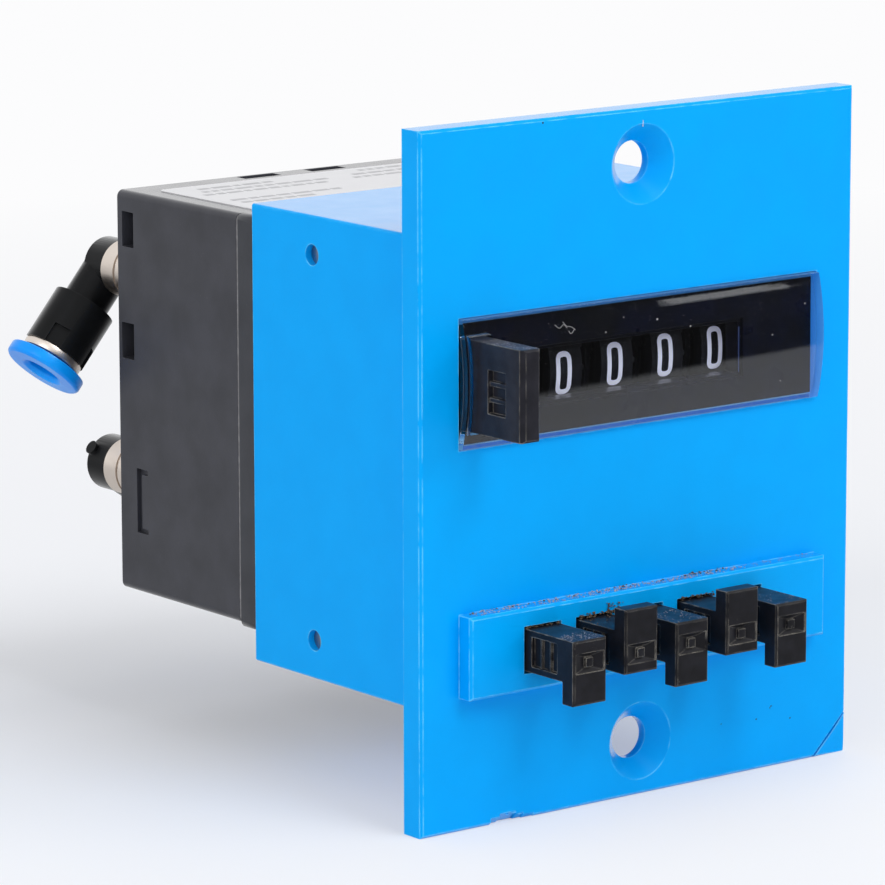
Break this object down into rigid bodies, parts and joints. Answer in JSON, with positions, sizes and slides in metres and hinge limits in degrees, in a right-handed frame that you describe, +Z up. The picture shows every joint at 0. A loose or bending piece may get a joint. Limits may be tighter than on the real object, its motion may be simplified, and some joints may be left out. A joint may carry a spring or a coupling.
{
  "type": "time delay valve",
  "caption": "Panel-mounted pneumatic time delay valve with a preset digit display, push keys below, a reset button and push-in elbow fittings at the rear.",
  "frame": {"origin": "centre of the front plate's back face, midway between the two panel screws, where the plate lies on the panel", "axes": "+X to the right along the plate seen from the front, +Y backwards through the panel, +Z up"},
  "size_m": [0.0632, 0.0854, 0.075],
  "materials": {
    "blue_plastic": "moulded, semi-matte",
    "clear_plastic": "clear acrylic, glossy",
    "black_plastic": "moulded, semi-matte",
    "dark_grey_plastic": "moulded, matte",
    "white_plastic": "moulded acetal",
    "steel": "zinc plated",
    "spring_steel": "drawn wire",
    "brass": "plain",
    "aluminium": "satin",
    "nickel": "nickel plated brass",
    "black_rubber": "matte",
    "grey_rubber": "matte",
    "label": "bare printed film"
  },
  "bodies": {
    "valve": {"front_housing": "blue_plastic", "window_lens": "clear_plastic", "display_mask": "black_plastic", "left_side_plate": "steel", "right_side_plate": "steel", "spacer_rods": "steel", "retaining_pins": "steel", "drum_shaft": "steel", "pinion_shaft": "steel", "shaft_spacers": "brass", "key_guide": "brass", "key_spring_1": "spring_steel", "key_spring_2": "spring_steel", "key_spring_3": "spring_steel", "key_spring_4": "spring_steel", "key_spring_5": "spring_steel", "reset_spring": "spring_steel", "rear_frame": "black_plastic", "frame_screws": "steel", "seam_gasket": "grey_rubber", "rear_housing": "dark_grey_plastic", "block_gasket": "black_rubber", "valve_block": "dark_grey_plastic", "cylinder_cover": "aluminium", "drive_spring": "spring_steel", "spool_spring": "spring_steel", "top_label": "label", "upper_stud": "nickel", "upper_washer": "black_rubber", "lower_stud": "nickel", "lower_washer": "black_rubber"},
    "key_1_body": {"key_1": "black_plastic"},
    "wheel_1": {"digit_wheel_1": "black_plastic"},
    "key_2_body": {"key_2": "black_plastic"},
    "wheel_2": {"digit_wheel_2": "black_plastic"},
    "key_3_body": {"key_3": "black_plastic"},
    "wheel_3": {"digit_wheel_3": "black_plastic"},
    "key_4_body": {"key_4": "black_plastic"},
    "wheel_4": {"digit_wheel_4": "black_plastic"},
    "key_5_body": {"key_5": "black_plastic"},
    "wheel_5": {"digit_wheel_5": "black_plastic"},
    "pinion_1": {"transfer_pinion_1": "white_plastic"},
    "pinion_2": {"transfer_pinion_2": "white_plastic"},
    "pinion_3": {"transfer_pinion_3": "white_plastic"},
    "pinion_4": {"transfer_pinion_4": "white_plastic"},
    "button": {"reset_button": "black_plastic"},
    "comb": {"reset_comb": "brass"},
    "piston": {"drive_piston": "nickel", "piston_seal": "black_rubber"},
    "spool": {"valve_spool": "aluminium", "spool_seals": "black_rubber"},
    "upper_swivel": {"upper_elbow": "black_plastic", "upper_tube_seal": "black_rubber", "upper_clamp_ring": "nickel"},
    "upper_ring": {"upper_release_ring": "blue_plastic"},
    "lower_swivel": {"lower_elbow": "black_plastic", "lower_tube_seal": "black_rubber", "lower_clamp_ring": "nickel"},
    "lower_ring": {"lower_release_ring": "blue_plastic"}
  },
  "joints": [
    {"name": "reset_button_push", "type": "slide", "parent": "valve", "child": "button", "axis": [0, 1, 0], "range_m": [0, 0.005], "stiffness_N_per_m": 120, "springref_m": -0.003, "deforming": ["reset_spring"]},
    {"name": "key_1_push", "type": "slide", "parent": "valve", "child": "key_1_body", "axis": [0, 1, 0], "range_m": [0, 0.0048], "stiffness_N_per_m": 150, "springref_m": -0.003, "deforming": ["key_spring_1"]},
    {"name": "key_2_push", "type": "slide", "parent": "valve", "child": "key_2_body", "axis": [0, 1, 0], "range_m": [0, 0.0048], "stiffness_N_per_m": 150, "springref_m": -0.003, "deforming": ["key_spring_2"]},
    {"name": "key_3_push", "type": "slide", "parent": "valve", "child": "key_3_body", "axis": [0, 1, 0], "range_m": [0, 0.0048], "stiffness_N_per_m": 150, "springref_m": -0.003, "deforming": ["key_spring_3"]},
    {"name": "key_4_push", "type": "slide", "parent": "valve", "child": "key_4_body", "axis": [0, 1, 0], "range_m": [0, 0.0048], "stiffness_N_per_m": 150, "springref_m": -0.003, "deforming": ["key_spring_4"]},
    {"name": "key_5_push", "type": "slide", "parent": "valve", "child": "key_5_body", "axis": [0, 1, 0], "range_m": [0, 0.0048], "stiffness_N_per_m": 150, "springref_m": -0.003, "deforming": ["key_spring_5"]},
    {"name": "wheel_1_turn", "type": "hinge", "parent": "valve", "child": "wheel_1", "pos_m": [0, 0.0088, 0.0097], "axis": [1, 0, 0], "continuous": true},
    {"name": "wheel_2_turn", "type": "hinge", "parent": "valve", "child": "wheel_2", "pos_m": [0, 0.0088, 0.0097], "axis": [1, 0, 0], "continuous": true},
    {"name": "wheel_3_turn", "type": "hinge", "parent": "valve", "child": "wheel_3", "pos_m": [0, 0.0088, 0.0097], "axis": [1, 0, 0], "continuous": true},
    {"name": "wheel_4_turn", "type": "hinge", "parent": "valve", "child": "wheel_4", "pos_m": [0, 0.0088, 0.0097], "axis": [1, 0, 0], "continuous": true},
    {"name": "wheel_5_turn", "type": "hinge", "parent": "valve", "child": "wheel_5", "pos_m": [0, 0.0088, 0.0097], "axis": [1, 0, 0], "continuous": true},
    {"name": "pinion_1_turn", "type": "hinge", "parent": "valve", "child": "pinion_1", "pos_m": [0, 0.01915, 0.0097], "axis": [1, 0, 0], "continuous": true},
    {"name": "pinion_2_turn", "type": "hinge", "parent": "valve", "child": "pinion_2", "pos_m": [0, 0.01915, 0.0097], "axis": [1, 0, 0], "continuous": true},
    {"name": "pinion_3_turn", "type": "hinge", "parent": "valve", "child": "pinion_3", "pos_m": [0, 0.01915, 0.0097], "axis": [1, 0, 0], "continuous": true},
    {"name": "pinion_4_turn", "type": "hinge", "parent": "valve", "child": "pinion_4", "pos_m": [0, 0.01915, 0.0097], "axis": [1, 0, 0], "continuous": true},
    {"name": "comb_rock", "type": "hinge", "parent": "valve", "child": "comb", "pos_m": [0, 0.0175, 0.0185], "axis": [1, 0, 0], "range_deg": [0, 35]},
    {"name": "drive_stroke", "type": "slide", "parent": "valve", "child": "piston", "axis": [0, -1, 0], "range_m": [0, 0.003], "stiffness_N_per_m": 200, "springref_m": -0.002, "deforming": ["drive_spring"]},
    {"name": "spool_shift", "type": "slide", "parent": "valve", "child": "spool", "axis": [0, 1, 0], "range_m": [0, 0.0018], "stiffness_N_per_m": 200, "springref_m": -0.001, "deforming": ["spool_spring"]},
    {"name": "upper_elbow_swivel", "type": "hinge", "parent": "valve", "child": "upper_swivel", "pos_m": [-0.0202, 0.0678, 0.0138], "axis": [0, 1, 0], "continuous": true},
    {"name": "lower_elbow_swivel", "type": "hinge", "parent": "valve", "child": "lower_swivel", "pos_m": [-0.0202, 0.0678, -0.0093], "axis": [0, 1, 0], "range_deg": [-35, 145]},
    {"name": "upper_release_push", "type": "slide", "parent": "upper_swivel", "child": "upper_ring", "axis": [0.6428, 0, 0.766], "range_m": [0, 0.0009], "stiffness_N_per_m": 200, "springref_m": -0.0005},
    {"name": "lower_release_push", "type": "slide", "parent": "lower_swivel", "child": "lower_ring", "axis": [-0.8192, 0, 0.5736], "range_m": [0, 0.0009], "stiffness_N_per_m": 200, "springref_m": -0.0005}
  ],
  "couplings": [
    {"joint": "pinion_1_turn", "follows": "wheel_1_turn", "ratio": -2.5},
    {"joint": "pinion_2_turn", "follows": "wheel_2_turn", "ratio": -2.5},
    {"joint": "pinion_3_turn", "follows": "wheel_3_turn", "ratio": -2.5},
    {"joint": "pinion_4_turn", "follows": "wheel_4_turn", "ratio": -2.5},
    {"joint": "comb_rock", "follows": "reset_button_push", "rad_per_m": 122.1}
  ]
}
